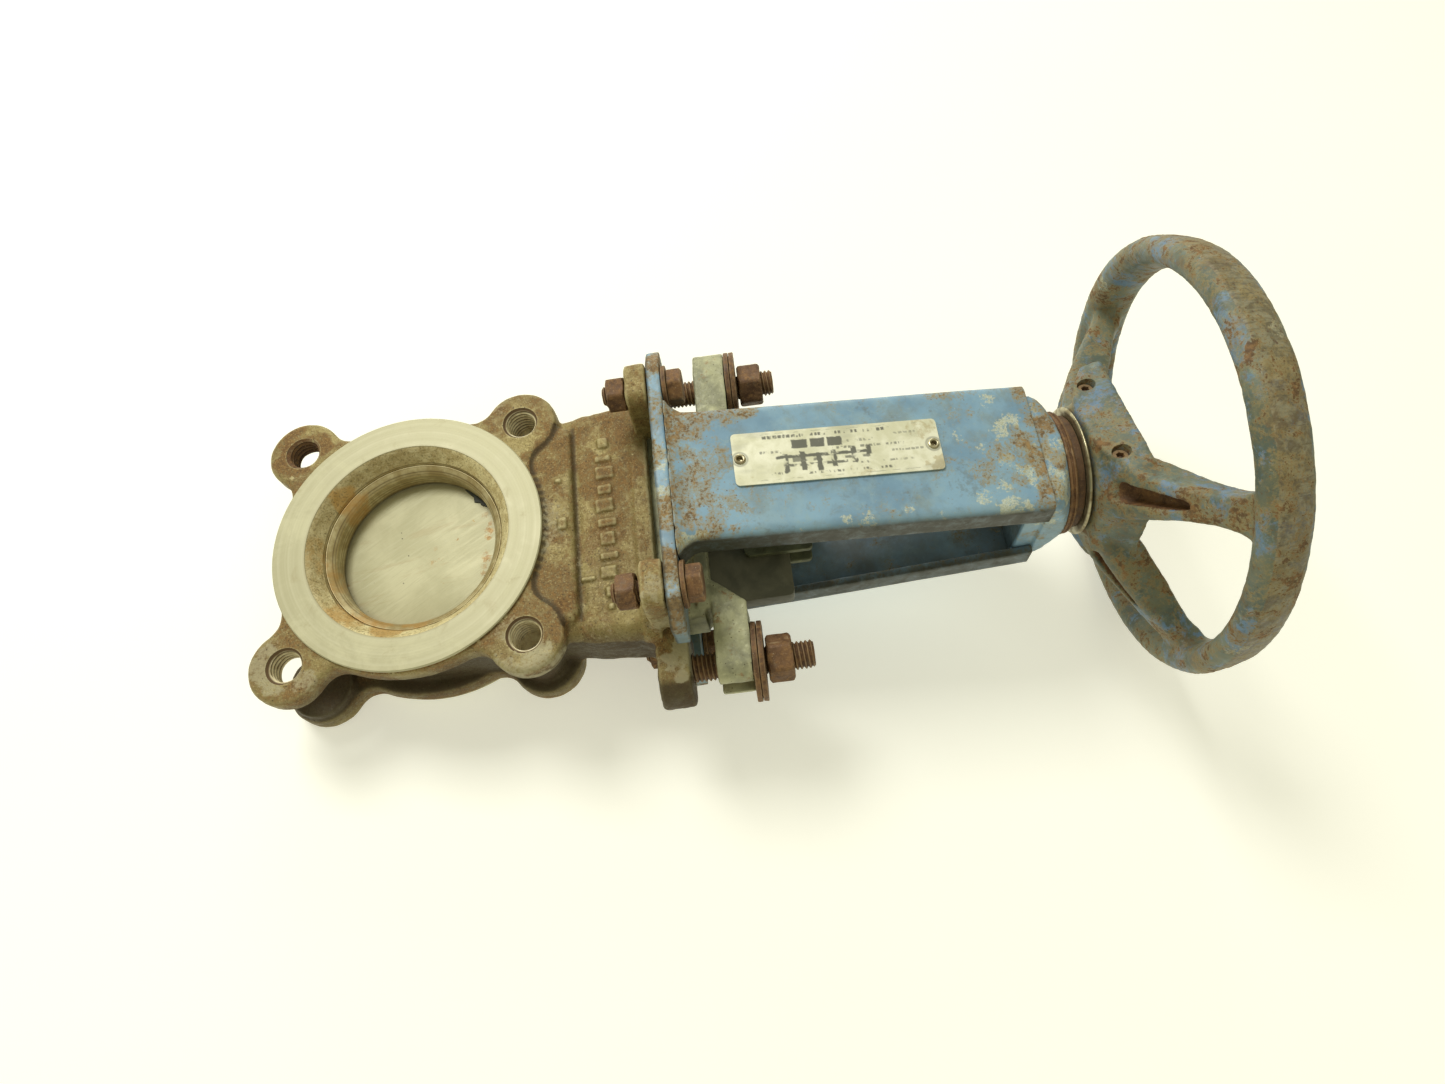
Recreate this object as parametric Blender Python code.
"""Knife gate valve, 3 inch, lugged wafer body, rising stem, handwheel on a two-leg yoke.

Frame: origin at the centre of the port, halfway between the two raised faces. +Z runs up the stem
towards the handwheel, Y is the pipe axis, and -Y is the front port face, on the side of the yoke that carries the nameplate.
All lengths below are in millimetres and are turned into metres when a mesh is made.
"""

import math

import bmesh
import bpy
from mathutils import Matrix, Vector

MM = 0.001
GAP = 0.3

# flanges and port
FACE_Y = 25.4
LUG_Y = 23.8
FLANGE_IN_Y = 12.2
RAISED_R = 63.5
FLANGE_R = 64.5
RECESS_R = 47.8
LUG_PCR = 76.2
LUG_R = 17.3
LUG_TAP_R = 7.35
PORT_R = 38.1
SEAT_R = 42.0
SEAT_Y0, SEAT_Y1 = 5.3, 17.2
# gate
GATE_HX, GATE_HY, GATE_TOP = 45.0, 4.75, 173.7
TRAVEL = 83.0
# packing box and gland
BOX_HX, BOX_HY, BOX_Z = 54.2, 14.2, 84.0
STUD_X, STUD_R, STUD_TOP = 72.2, 6.35, 178.3
GLAND_Z0, GLAND_Z1, GLAND_HX, GLAND_HY = 137.3, 152.6, 84.6, 16.2
GLAND_CX = -1.3
GLAND_TILT = math.radians(1.45)
# yoke
BOLT_X, BOLT_Y = 48.4, 43.6
EAR_Z0, EAR_Z1 = 109.8, 119.7
BASE_Z0, BASE_Z1 = 120.0, 126.3
LEG_HX, LEG_DEPTH, LEG_T = 31.8, 15.9, 4.0
LEG_Z0, LEG_Z1 = 126.6, 289.0
HEAD_TOP = 300.0


def leg_y(z):
    """Outer face of a leg's web: the two legs lean towards each other going up."""
    return 48.9 - 0.1165 * (z - 150.0)


# ---------------------------------------------------------------- scene and materials
for old in list(bpy.data.objects):
    bpy.data.objects.remove(old, do_unlink=True)
for old in list(bpy.data.meshes):
    bpy.data.meshes.remove(old)
COLLECTION = bpy.data.collections.new("knife_gate_valve")
bpy.context.scene.collection.children.link(COLLECTION)


def material(name, colour, metal, rough):
    made = bpy.data.materials.new(name)
    made.use_nodes = True
    shader = made.node_tree.nodes["Principled BSDF"]
    shader.inputs["Base Color"].default_value = (*colour, 1.0)
    shader.inputs["Metallic"].default_value = metal
    shader.inputs["Roughness"].default_value = rough
    made.diffuse_color = (*colour, 1.0)
    return made


CAST = material("stained_cast_steel", (0.24, 0.19, 0.12), 0.6, 0.55)
PLATE = material("gate_steel", (0.52, 0.50, 0.45), 0.9, 0.35)
SEAT = material("seat_metal", (0.45, 0.36, 0.26), 0.8, 0.4)
PACK = material("packing", (0.12, 0.12, 0.11), 0.0, 0.8)
GREY = material("grey_casting", (0.40, 0.40, 0.36), 0.5, 0.6)
RUST = material("rusted_steel", (0.14, 0.06, 0.04), 0.4, 0.75)
BLUE = material("blue_paint", (0.19, 0.33, 0.45), 0.1, 0.45)
TEAL = material("faded_blue_paint", (0.22, 0.29, 0.28), 0.1, 0.5)
BRONZE = material("bronze", (0.45, 0.27, 0.10), 1.0, 0.4)
BRIGHT = material("bright_steel", (0.55, 0.53, 0.48), 1.0, 0.3)
LABEL = material("label_plate", (0.66, 0.65, 0.60), 0.8, 0.35)


# ---------------------------------------------------------------- mesh helpers
def put(name, mesh, mat):
    mesh.update()
    obj = bpy.data.objects.new(name, mesh)
    obj.data.materials.clear()
    obj.data.materials.append(mat)
    COLLECTION.objects.link(obj)
    return obj


def raw(name, verts, faces, mat=CAST):
    """A mesh object from points in millimetres, with its faces turned outwards."""
    mesh = bpy.data.meshes.new(name)
    mesh.from_pydata([tuple(c * MM for c in v) for v in verts], [], faces)
    bm = bmesh.new()
    bm.from_mesh(mesh)
    bmesh.ops.recalc_face_normals(bm, faces=bm.faces)
    if bm.calc_volume(signed=True) < 0:
        bmesh.ops.reverse_faces(bm, faces=bm.faces)
    bm.to_mesh(mesh)
    bm.free()
    return put(name, mesh, mat)


def stack(name, loops, mat=CAST, cap=True, ring=False):
    """Skin over loops with equal point counts. ring joins the last loop to the first instead of capping."""
    n = len(loops[0])
    verts = [v for loop in loops for v in loop]
    faces = []
    m = len(loops)
    for i in range(m if ring else m - 1):
        j = (i + 1) % m
        for k in range(n):
            l = (k + 1) % n
            faces.append((i * n + k, i * n + l, j * n + l, j * n + k))
    if cap and not ring:
        faces.append(tuple(range(n - 1, -1, -1)))
        faces.append(tuple((m - 1) * n + k for k in range(n)))
    return raw(name, verts, faces, mat)


def circle(r, n, cx=0.0, cy=0.0, start=0.0):
    return [(cx + r * math.cos(start + 2 * math.pi * k / n), cy + r * math.sin(start + 2 * math.pi * k / n)) for k in range(n)]


def hexagon(af, n=12):
    """A hexagon of width af across its flats, sampled at n equal angles with a corner at angle 0."""
    out = []
    for k in range(n):
        a = 2 * math.pi * k / n
        d = (a + math.pi / 6) % (math.pi / 3) - math.pi / 6
        r = af / 2 / math.cos(math.pi / 6 - abs(d))
        out.append((r * math.cos(a), r * math.sin(a)))
    return out


def at_z(outline, z):
    return [(x, y, z) for x, y in outline]


def at_y(outline, y):
    return [(x, y, z) for x, z in outline]


def prism_z(name, outline, z0, z1, mat=CAST):
    return stack(name, [at_z(outline, z0), at_z(outline, z1)], mat)


def prism_y(name, outline, y0, y1, mat=CAST):
    return stack(name, [at_y(outline, y0), at_y(outline, y1)], mat)


def box(name, x0, x1, y0, y1, z0, z1, mat=CAST):
    return prism_z(name, [(x0, y0), (x1, y0), (x1, y1), (x0, y1)], z0, z1, mat)


def lathe(name, profile, n, mat=CAST, cx=0.0, cy=0.0, ring=True, along="z"):
    """Turned body. profile holds (radius, height) points; ring closes it round a hole."""
    loops = []
    for r, h in profile:
        pts = circle(r, n)
        if along == "z":
            loops.append([(cx + a, cy + b, h) for a, b in pts])
        else:
            loops.append([(cx + a, h, cy + b) for a, b in pts])
    return stack(name, loops, mat, ring=ring)


def tube(name, outer, inner, z0, z1, mat, cx=0.0, cy=0.0):
    loops = [at_z(inner, z0), at_z(outer, z0), at_z(outer, z1), at_z(inner, z1)]
    loops = [[(x + cx, y + cy, z) for x, y, z in loop] for loop in loops]
    return stack(name, loops, mat, ring=True)


def rounded(hx, hy, r, n=4, cx=0.0, cy=0.0):
    out = []
    for sx, sy, a0 in ((1, 1, 0), (-1, 1, 90), (-1, -1, 180), (1, -1, 270)):
        for k in range(n + 1):
            a = math.radians(a0 + 90 * k / n)
            out.append((cx + sx * (hx - r) + r * math.cos(a), cy + sy * (hy - r) + r * math.sin(a)))
    return out


def combine(target, tool, how):
    """Applies an exact Boolean to target and removes the tool."""
    mod = target.modifiers.new("cut", "BOOLEAN")
    mod.solver = "EXACT"
    mod.operation = how
    mod.object = tool
    bpy.context.view_layer.update()
    graph = bpy.context.evaluated_depsgraph_get()
    made = bpy.data.meshes.new_from_object(target.evaluated_get(graph), depsgraph=graph)
    target.modifiers.clear()
    mat = target.data.materials[0]
    target.data = made
    made.materials.clear()
    made.materials.append(mat)
    bpy.data.objects.remove(tool, do_unlink=True)
    return target


def join(target, *tools):
    for tool in tools:
        combine(target, tool, "UNION")
    return target


def cut(target, *tools):
    for tool in tools:
        combine(target, tool, "DIFFERENCE")
    return target


def tidy(obj):
    bm = bmesh.new()
    bm.from_mesh(obj.data)
    bmesh.ops.remove_doubles(bm, verts=bm.verts, dist=2e-6)
    bmesh.ops.dissolve_degenerate(bm, edges=bm.edges, dist=2e-6)
    bmesh.ops.dissolve_limit(bm, angle_limit=0.002, verts=bm.verts, edges=bm.edges)
    bmesh.ops.triangulate(bm, faces=bm.faces)
    bm.to_mesh(obj.data)
    bm.free()
    return obj


def move_origin(obj, x, y, z):
    """Puts the origin at a point in millimetres, leaving the shape where it is."""
    shift = Vector((x * MM, y * MM, z * MM))
    obj.data.transform(Matrix.Translation(-shift))
    obj.location = obj.location + shift
    return obj


# ---------------------------------------------------------------- body
def flange_outline():
    """Disc with four lugs and concave fillets between them, drawn in X and Z."""
    fillet = 11.0
    a, b = FLANGE_R + fillet, LUG_R + fillet
    turn = math.acos((LUG_PCR**2 + a * a - b * b) / (2 * LUG_PCR * a))
    out = []
    for q in range(4):
        mid = math.radians(45 + 90 * q)
        lx, lz = LUG_PCR * math.cos(mid), LUG_PCR * math.sin(mid)
        for side in (-1, 1):
            fx, fz = a * math.cos(mid + side * turn), a * math.sin(mid + side * turn)
            to_disc = math.atan2(-fz, -fx)
            to_lug = math.atan2(lz - fz, lx - fx)
            if side == -1:
                sweep = (to_lug - to_disc + math.pi) % (2 * math.pi) - math.pi
                out += [(fx + fillet * math.cos(to_disc + sweep * k / 3), fz + fillet * math.sin(to_disc + sweep * k / 3)) for k in range(4)]
                start = to_lug + math.pi
            else:
                end = to_lug + math.pi
                sweep = (end - start) % (2 * math.pi)
                out += [(lx + LUG_R * math.cos(start + sweep * k / 10), lz + LUG_R * math.sin(start + sweep * k / 10)) for k in range(1, 10)]
                back = (to_disc - to_lug + math.pi) % (2 * math.pi) - math.pi
                out += [(fx + fillet * math.cos(to_lug + back * k / 3), fz + fillet * math.sin(to_lug + back * k / 3)) for k in range(4)]
        nxt = math.radians(45 + 90 * (q + 1)) - turn
        here = mid + turn
        out += [(FLANGE_R * math.cos(here + (nxt - here) * k / 4), FLANGE_R * math.sin(here + (nxt - here) * k / 4)) for k in range(1, 4)]
    return out


outline = flange_outline()
body = prism_y("valve_body", outline, -LUG_Y, -FLANGE_IN_Y)
join(body, prism_y("t", outline, FLANGE_IN_Y, LUG_Y))
core = [(56.5 * math.cos(math.pi + math.pi * k / 20), 56.5 * math.sin(math.pi + math.pi * k / 20)) for k in range(21)] + [(56.5, 84.0), (-56.5, 84.0)]
join(body, prism_y("t", core, -FLANGE_IN_Y - 0.8, FLANGE_IN_Y + 0.8))
for side in (-1, 1):
    y0, y1 = sorted((side * 10.0, side * 22.6))
    join(body, prism_y("t", [(-49.0, 20.0), (49.0, 20.0), (50.5, 70.0), (49.0, 77.6), (-49.0, 77.6), (-50.5, 70.0)], y0, y1))
neck = [at_z(rounded(56.0, 17.0, 7.0), 60.0), at_z(rounded(57.6, 18.4, 8.0), 77.0), at_z(rounded(58.6, 20.0, 9.0), 82.0), at_z(rounded(60.2, 20.2, 8.0), 104.4), at_z(rounded(61.4, 21.6, 8.0), 106.2), at_z(rounded(61.4, 21.6, 8.0), 113.4)]
join(body, stack("t", neck))
for sx in (-1, 1):
    for sy in (-1, 1):
        ear = rounded(10.8, 10.8, 6.0, 3, sx * BOLT_X, sy * BOLT_Y)
        join(body, prism_z("t", ear, EAR_Z0, EAR_Z1))
        x0, x1 = sorted((sx * (BOLT_X - 9.6), sx * (BOLT_X + 9.4)))
        y0, y1 = sorted((sy * 17.0, sy * BOLT_Y))
        join(body, box("t", x0, x1, y0, y1, EAR_Z0 - 0.6, EAR_Z1 - 0.15))
    lug = [(sx * 55.0, -13.6), (sx * 75.4, -13.6)] + [(sx * (75.4 + 13.6 * math.sin(math.pi * k / 8)), -13.6 * math.cos(math.pi * k / 8)) for k in range(1, 8)] + [(sx * 75.4, 13.6), (sx * 55.0, 13.6)]
    join(body, prism_z("t", lug, 109.0, 123.8))
for side in (-1, 1):
    join(body, lathe("t", [(RAISED_R, side * (FLANGE_IN_Y + 3)), (RAISED_R, side * FACE_Y)], 56, ring=False, along="y"))
# port: a tapered recess, then the seat counterbore, both sides
for side in (-1, 1):
    cut(body, lathe("t", [(SEAT_R + GAP, side * 0.5), (SEAT_R + GAP, side * (SEAT_Y1 + 0.6)), (RECESS_R - 1.2, side * (FACE_Y - 1.4)), (RECESS_R, side * (FACE_Y - 0.6)), (RECESS_R, side * (FACE_Y + 2))], 40, ring=False, along="y"))
slot = [(46.0 * math.cos(math.pi + math.pi * k / 24), 46.0 * math.sin(math.pi + math.pi * k / 24)) for k in range(25)] + [(46.0, 95.0), (-46.0, 95.0)]
cut(body, prism_y("t", slot, -SEAT_Y0 + 0.1, SEAT_Y0 - 0.1))
cut(body, prism_z("t", rounded(BOX_HX, BOX_HY, 3.0, 3), BOX_Z, 130.0))
for sx in (-1, 1):
    for sz in (-1, 1):
        c = LUG_PCR / math.sqrt(2)
        for side in (-1, 1):
            cut(body, lathe("t", [(LUG_TAP_R, side * (FLANGE_IN_Y - 6)), (LUG_TAP_R, side * (LUG_Y - 1.0)), (LUG_TAP_R + 1.4, side * (LUG_Y + 0.4)), (LUG_TAP_R + 1.4, side * 30)], 12, cx=sx * c, cy=sz * c, ring=False, along="y"))
    cut(body, lathe("t", [(STUD_R + GAP, 100.0), (STUD_R + GAP, 130.0)], 16, cx=sx * STUD_X, ring=False))
    for sy in (-1, 1):
        cut(body, lathe("t", [(5.2, 100.0), (5.2, 125.0)], 12, cx=sx * BOLT_X, cy=sy * BOLT_Y, ring=False))
tidy(body)

for side, where in ((-1, "front"), (1, "rear")):
    tidy(lathe("seat_ring_" + where, [(PORT_R, side * SEAT_Y0), (SEAT_R, side * SEAT_Y0), (SEAT_R, side * (SEAT_Y1 - 0.8)), (SEAT_R - 0.8, side * SEAT_Y1), (PORT_R + 1.4, side * SEAT_Y1), (PORT_R, side * (SEAT_Y1 - 2.2))], 40, SEAT, along="y"))

# ---------------------------------------------------------------- gate, stem and clevis (moving)
gate_line = [(GATE_HX * math.cos(math.pi + math.pi * k / 24), GATE_HX * math.sin(math.pi + math.pi * k / 24)) for k in range(25)]
gate_line += [(GATE_HX, GATE_TOP - 2.5), (GATE_HX - 2.5, GATE_TOP), (-GATE_HX + 2.5, GATE_TOP), (-GATE_HX, GATE_TOP - 2.5)]
gate = prism_y("gate", gate_line, -GATE_HY, GATE_HY, PLATE)
CLEVIS_X = 15.0
for sx in (-1, 1):
    cut(gate, lathe("t", [(3.5, -10), (3.5, 10)], 12, cx=sx * CLEVIS_X, cy=164.0, ring=False, along="y"))
tidy(gate)
for side, where in ((-1, "front"), (1, "rear")):
    y0, y1 = sorted((side * (GATE_HY + GAP), side * (GATE_HY + GAP + 3.2)))
    plate = prism_y("clevis_plate_" + where, [(-25.0, 155.2), (-23.0, 153.2), (23.0, 153.2), (25.0, 155.2), (25.0, 183.4), (23.6, 184.8), (-23.6, 184.8), (-25.0, 183.4)], y0, y1, PLATE)
    for sx in (-1, 1):
        cut(plate, lathe("t", [(3.5, -12), (3.5, 12)], 12, cx=sx * CLEVIS_X, cy=164.0, ring=False, along="y"))
    cut(plate, lathe("t", [(3.5, -12), (3.5, 12)], 12, cx=0, cy=179.6, ring=False, along="y"))
    tidy(plate)


def cross_bolt(name, cx, cz, af=10.0, r=3.0):
    """A bolt lying along Y, its head to the front."""
    hexa, shaft = hexagon(af), circle(r, 12)
    yh, yn = -(GATE_HY + 3.5 + 2 * GAP), GATE_HY + 3.5 + 2 * GAP + 5.6
    loops = [[(cx + u, yh - 3.6, cz + v) for u, v in hexa], [(cx + u, yh, cz + v) for u, v in hexa], [(cx + u, yh, cz + v) for u, v in shaft], [(cx + u, yn, cz + v) for u, v in shaft]]
    tidy(stack(name, loops, RUST))
    y0 = GATE_HY + 3.5 + 2 * GAP
    ring = [[(cx + u, y, cz + v) for u, v in line] for line, y in ((circle(r + GAP, 12), y0), (hexagon(af), y0), (hexagon(af), y0 + 4.2), (circle(r + GAP, 12), y0 + 4.2))]
    tidy(stack(name.replace("bolt", "nut"), ring, RUST, ring=True))


cross_bolt("clevis_bolt_left", -CLEVIS_X, 164.0)
cross_bolt("clevis_bolt_right", CLEVIS_X, 164.0)
cross_bolt("clevis_bolt_stem", 0.0, 179.6)

STEM_R, STEM_TOP = 9.4, 338.0
stem = box("stem", -10.5, 10.5, -GATE_HY, GATE_HY, GATE_TOP + 0.4, 188.0, BRIGHT)
join(stem, lathe("t", [(STEM_R, 186.0), (STEM_R, STEM_TOP - 1.5), (STEM_R - 1.5, STEM_TOP)], 20, ring=False))
cut(stem, lathe("t", [(3.5, -12), (3.5, 12)], 12, cx=0, cy=179.6, ring=False, along="y"))
tidy(stem)

# ---------------------------------------------------------------- packing and gland
for k in range(3):
    z0 = BOX_Z + GAP + k * 7.0
    tidy(tube("packing_ring_%d" % (k + 1), rounded(BOX_HX - GAP, BOX_HY - GAP, 2.8, 3), rounded(GATE_HX + 0.5, GATE_HY + 0.5, 1.0, 3), z0, z0 + 6.7, PACK))

PACK_TOP = BOX_Z + GAP + 3 * 7.0
gland = prism_z("gland_follower", rounded(GLAND_HX, GLAND_HY, 7.0, 4, GLAND_CX), GLAND_Z0, GLAND_Z1, GREY)
join(gland, prism_z("t", rounded(50.0, GLAND_HY, 5.0, 3), GLAND_Z0 - 6.7, GLAND_Z0 + 0.5))
# the arms rise from a thinner middle
cut(gland, prism_y("t", [(-36.2, 137.0), (36.2, 137.0), (47.4, 151.1), (49.4, 154.0), (-49.4, 154.0), (-47.4, 151.1)], -20.0, 20.0))
join(gland, prism_z("t", rounded(BOX_HX - 1.4, BOX_HY - 1.0, 2.5, 3), PACK_TOP + 1.9, GLAND_Z0 + 3))
cut(gland, prism_z("t", rounded(GATE_HX + 1.5, GATE_HY + 0.8, 1.0, 2), 90.0, 170.0))
for sx in (-1, 1):
    fork = [(sx * 100.0, -7.3), (sx * 100.0, 7.3)] + [(sx * (STUD_X - 7.3 * math.sin(math.pi * k / 8)), 7.3 * math.cos(math.pi * k / 8)) for k in range(9)]
    cut(gland, prism_z("t", fork, 120.0, 170.0))
tidy(gland)
tilt = Matrix.Translation((0, 0, 145 * MM)) @ Matrix.Rotation(GLAND_TILT, 4, "Y") @ Matrix.Translation((0, 0, -145 * MM))
gland.data.transform(tilt)

for sx, where in ((-1, "left"), (1, "right")):
    tidy(lathe("gland_stud_" + where, [(STUD_R - 0.9, 109.4), (STUD_R, 110.3), (STUD_R, STUD_TOP - 1.2), (STUD_R - 1.2, STUD_TOP)], 16, RUST, cx=sx * STUD_X, ring=False))
    lift = -sx * 1.83
    for k, which in ((0, "lower"), (1, "upper")):
        z0 = GLAND_Z1 + GAP + k * 2.7
        ring = tidy(tube("gland_washer_%s_%s" % (which, where), circle(17.9, 20), circle(7.0, 20), z0, z0 + 2.4, RUST, cx=sx * STUD_X))
        ring.data.transform(tilt)
    zn = GLAND_Z1 + lift + 6.4
    nut = tidy(tube("gland_nut_" + where, hexagon(19.2, 12), circle(STUD_R + GAP + 0.15, 12), zn, zn + 11.6, RUST, cx=sx * STUD_X))

# ---------------------------------------------------------------- yoke
for side, where in ((-1, "front"), (1, "rear")):
    base = [(-68.0, side * 25.5), (-68.0, side * 45.0), (-57.0, side * 52.6), (57.0, side * 52.6), (68.0, side * 45.0), (68.0, side * 25.5)]
    plate = prism_z("yoke_base_" + where, base, BASE_Z0, BASE_Z1, BLUE)
    for sx in (-1, 1):
        cut(plate, lathe("t", [(5.2, 110.0), (5.2, 135.0)], 12, cx=sx * BOLT_X, cy=side * BOLT_Y, ring=False))
    tidy(plate)

    loops = []
    for z, flare in ((LEG_Z0, 6.2), (LEG_Z0 + 2.2, 3.0), (LEG_Z0 + 5.6, 1.0), (LEG_Z0 + 11.0, 0.0), (LEG_Z1, 0.0)):
        yo = leg_y(z) + flare * 0.35
        yi = leg_y(z) - LEG_T
        ye = leg_y(z) - LEG_DEPTH
        hx, ix = LEG_HX + flare, LEG_HX - LEG_T
        r = 2.6
        half = [(hx, ye), (hx, yo - r), (hx - 0.3 * r, yo - 0.3 * r), (hx - r, yo)]
        inner = [(ix, ye), (ix, yi)]
        line = half + [(-x, y) for x, y in reversed(half)] + [(-x, y) for x, y in inner] + [(x, y) for x, y in reversed(inner)]
        loops.append([(x, side * y, z) for x, y in line])
    tidy(stack("yoke_leg_" + where, loops, BLUE))

    for sx, hand in ((-1, "left"), (1, "right")):
        x, y = sx * BOLT_X, side * BOLT_Y
        tag = "%s_%s" % (where, hand)
        nut_top = EAR_Z0 - (0.6 if sx < 0 else 2.2)
        tidy(tube("yoke_washer_" + tag, circle(10.2, 16), circle(5.2, 16), BASE_Z1 + GAP, BASE_Z1 + GAP + 2.0, RUST, cx=x, cy=y))
        z0 = BASE_Z1 + 2 * GAP + 2.0
        loops = [at_z(circle(4.1, 12), nut_top - 10.6), at_z(circle(4.75, 12), nut_top - 9.8), at_z(circle(4.75, 12), z0), at_z(hexagon(14.9), z0), at_z(hexagon(14.9), z0 + 5.8), at_z([(a * 0.93, b * 0.93) for a, b in hexagon(14.9)], z0 + 6.7)]
        tidy(stack("yoke_bolt_" + tag, [[(a + x, b + y, c) for a, b, c in loop] for loop in loops], RUST))
        tidy(tube("yoke_nut_" + tag, hexagon(14.9), circle(5.1, 12), nut_top - 8.3, nut_top, RUST, cx=x, cy=y))

HEAD_SEGS = 28


def square_round(h, r):
    """A rounded square sampled at equal angles, so that it lofts into a circle."""
    out = []
    for k in range(HEAD_SEGS):
        a = 2 * math.pi * k / HEAD_SEGS
        c, s = abs(math.cos(a)), abs(math.sin(a))
        d = h / max(c, s)
        x, y = d * c, d * s
        if x > h - r and y > h - r:
            p = (h - r) * (c + s)
            q = 2 * (h - r) ** 2 - r * r
            d = p + math.sqrt(max(p * p - q, 0.0))
        out.append((d * math.cos(a), d * math.sin(a)))
    return out


head = stack("yoke_head", [at_z(square_round(29.0, 5.0), LEG_Z1 + GAP), at_z(square_round(29.2, 8.0), 293.5), at_z(square_round(29.4, 18.0), 297.0), at_z(circle(29.6, HEAD_SEGS), HEAD_TOP)], BLUE)
low = [at_z([(x, y * (leg_y(z) - LEG_T - GAP) / 10.0) for x, y in ((-27.4, -10), (27.4, -10), (27.4, 10), (-27.4, 10))], z) for z in (281.0, LEG_Z1 + 3)]
join(head, stack("t", low))
cut(head, lathe("t", [(13.3, 270.0), (13.3, 286.05)], 20, ring=False), lathe("t", [(21.4, 286.0), (21.4, 310.0)], 20, ring=False))
tidy(head)

tidy(lathe("bearing_retainer", [(18.2, HEAD_TOP + GAP), (28.7, HEAD_TOP + GAP), (29.2, HEAD_TOP + 1.2), (29.2, HEAD_TOP + 3.0), (28.2, HEAD_TOP + 4.0), (18.2, HEAD_TOP + 4.0)], 28, RUST))
tidy(lathe("thrust_bearing_lower", [(13.6, 286.4), (20.9, 286.4), (20.9, 290.6), (13.6, 290.6)], 20, BRIGHT))
tidy(lathe("thrust_bearing_upper", [(17.8, 295.4), (20.9, 295.4), (20.9, 299.8), (17.8, 299.8)], 20, BRIGHT))

# ---------------------------------------------------------------- drive sleeve, wheel, key, nut (turning)
sleeve = lathe("drive_sleeve", [(STEM_R + 0.35, 283.0), (12.9, 283.0), (12.9, 291.0), (20.7, 291.0), (20.7, 295.1), (17.4, 295.1), (17.4, 304.6), (26.4, 304.6), (26.4, 308.0), (14.4, 308.0), (14.4, 343.0), (13.4, 344.0), (STEM_R + 0.35, 344.0)], 20, BRONZE)
cut(sleeve, box("t", 12.2, 20.0, -2.6, 2.6, 314.0, 331.0))
tidy(sleeve)
tidy(lathe("dust_ring", [(14.8, 308.3), (29.2, 308.3), (30.1, 309.0), (30.1, 309.5), (29.2, 310.1), (14.8, 310.1)], 28, BRIGHT))

SPOKES = (-46.5, 25.0, 172.0)
RIM = [(88.4, 349.8), (90.0, 346.8), (94.4, 344.8), (98.6, 346.0), (100.9, 349.6), (99.6, 358.0), (97.6, 365.2), (94.5, 366.8), (90.0, 366.4), (86.6, 363.4), (86.0, 357.0)]
wheel = lathe("handwheel", RIM, 60, TEAL)
spoke_lines = ((16, 313.5, 331.0, 13.5), (30, 314.0, 332.0, 14.0), (42, 318.0, 338.0, 12.2), (55, 325.0, 345.0, 9.2), (68, 333.5, 351.0, 7.2), (79, 341.0, 356.5, 7.2), (85, 345.5, 360.5, 9.0), (92, 348.5, 362.5, 13.0))
for a in SPOKES:
    ca, sa = math.cos(math.radians(a)), math.sin(math.radians(a))
    loops = []
    for r, z0, z1, h in spoke_lines:
        c = 2.4
        sec = [(-h, z0 + c), (-h + c, z0), (h - c, z0), (h, z0 + c), (h, z1 - c), (h - c, z1), (-h + c, z1), (-h, z1 - c)]
        loops.append([(r * ca - u * sa, r * sa + u * ca, z) for u, z in sec])
    join(wheel, stack("t", loops))
hub = [at_z(circle(29.6, 28), 311.4), at_z(circle(31.0, 28), 314.0), at_z(circle(31.0, 28), 331.0)]
join(wheel, stack("t", hub))
for a, t0, t1, d0, d1 in ((-107.4, -37.0, 33.0, 29.8, 34.6), (-11.0, -33.0, 33.0, 33.0, 41.0), (98.0, -36.0, 38.0, 31.0, 36.0)):
    ca, sa = math.cos(math.radians(a)), math.sin(math.radians(a))
    loops = []
    for z, k in ((312.4, 0.45), (315.0, 0.68), (318.0, 0.86), (321.5, 1.0), (331.0, 1.0)):
        d = d0 + (d1 - d0) * (z - 312.4) / 18.6
        loops.append([(d_ * ca - t * k * sa, d_ * sa + t * k * ca, z) for d_, t in ((10.0, t0 * 0.6), (10.0, t1 * 0.6), (d, t1), (d, t0))])
    join(wheel, stack("t", loops))
cut(wheel, lathe("t", [(14.9, 300.0), (14.9, 350.0)], 20, ring=False))
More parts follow.
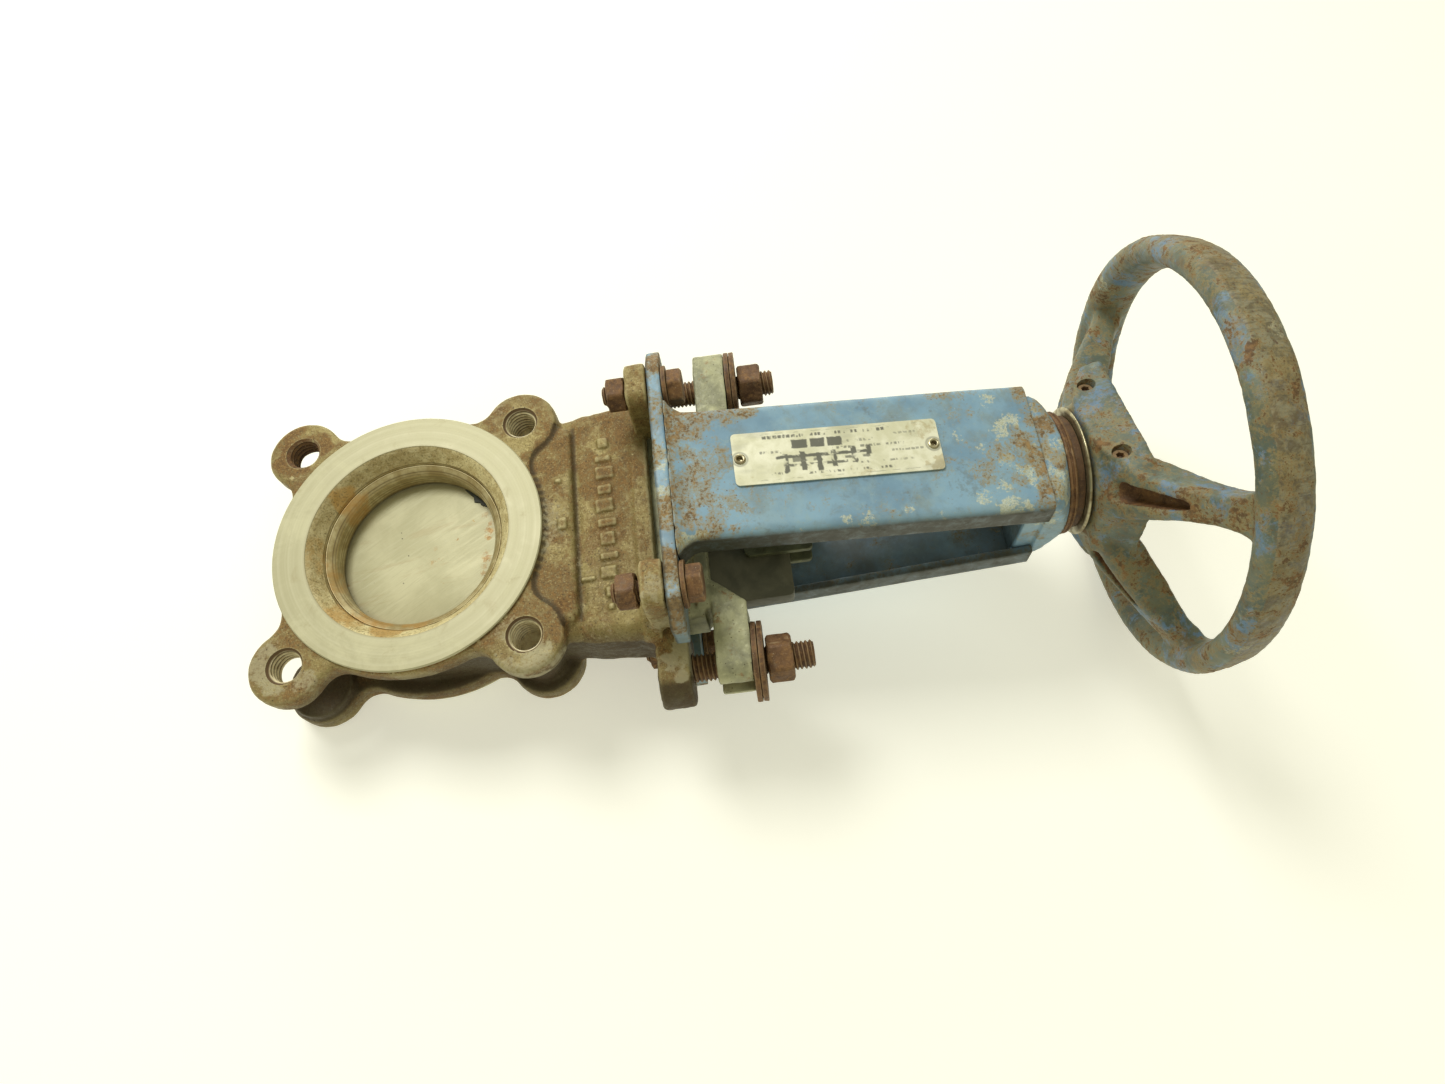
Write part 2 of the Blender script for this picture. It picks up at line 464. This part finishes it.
cut(wheel, box("t", 10.0, 18.6, -2.8, 2.8, 300.0, 340.0))
n1, t1 = math.radians(-107.4), math.radians(-17.4)
for u in (-23.0, 22.0):
    drill = lathe("t", [(3.9, 22.0), (3.9, 60.0)], 14, ring=False)
    turn = Matrix.Rotation(n1, 4, "Z") @ Matrix.Rotation(math.pi / 2, 4, "Y")
    drill.data.transform(Matrix.Translation((u * math.cos(t1) * MM, u * math.sin(t1) * MM, 320.2 * MM)) @ turn)
    cut(wheel, drill)
tidy(wheel)
tidy(box("wheel_key", 12.6, 18.2, -2.3, 2.3, 314.5, 330.0, RUST))
tidy(tube("wheel_nut", hexagon(38.1, 24), circle(14.9, 24), 331.6, 340.5, RUST))

# ---------------------------------------------------------------- nameplate on the front leg
lean = math.atan(0.1165)


def on_leg(obj, z_mid):
    """Lays a flat piece, drawn in X and Z about the origin with its back on Y = 0, on the front web."""
    obj.data.transform(Matrix.Translation((0, -(leg_y(z_mid) + 0.12) * MM, z_mid * MM)) @ Matrix.Rotation(-lean, 4, "X"))
    return obj


PLATE_MID, PLATE_HL, PLATE_HX, PLATE_CX = 199.4, 45.7, 12.7, -3.3
label = prism_y("nameplate", rounded(PLATE_HX, PLATE_HL, 2.0, 3, PLATE_CX), -1.0, -0.3, LABEL)
for end in (-1, 1):
    cut(label, lathe("t", [(1.75, -3), (1.75, 3)], 10, cx=PLATE_CX, cy=end * 42.7, ring=False, along="y"))
on_leg(tidy(label), PLATE_MID)
leg = bpy.data.objects["yoke_leg_front"]
for end, where in ((-1, "lower"), (1, "upper")):
    drill = lathe("t", [(1.75, -3), (1.75, 12)], 10, cx=PLATE_CX, cy=end * 42.7, ring=False, along="y")
    cut(leg, on_leg(drill, PLATE_MID))
    pin = [(1.4, 3.2), (1.4, -1.3), (2.9, -1.3), (2.6, -2.1), (1.2, -2.6)]
    on_leg(tidy(lathe("nameplate_screw_" + where, pin, 10, BRIGHT, cx=PLATE_CX, cy=end * 42.7, ring=False, along="y")), PLATE_MID)
tidy(leg)
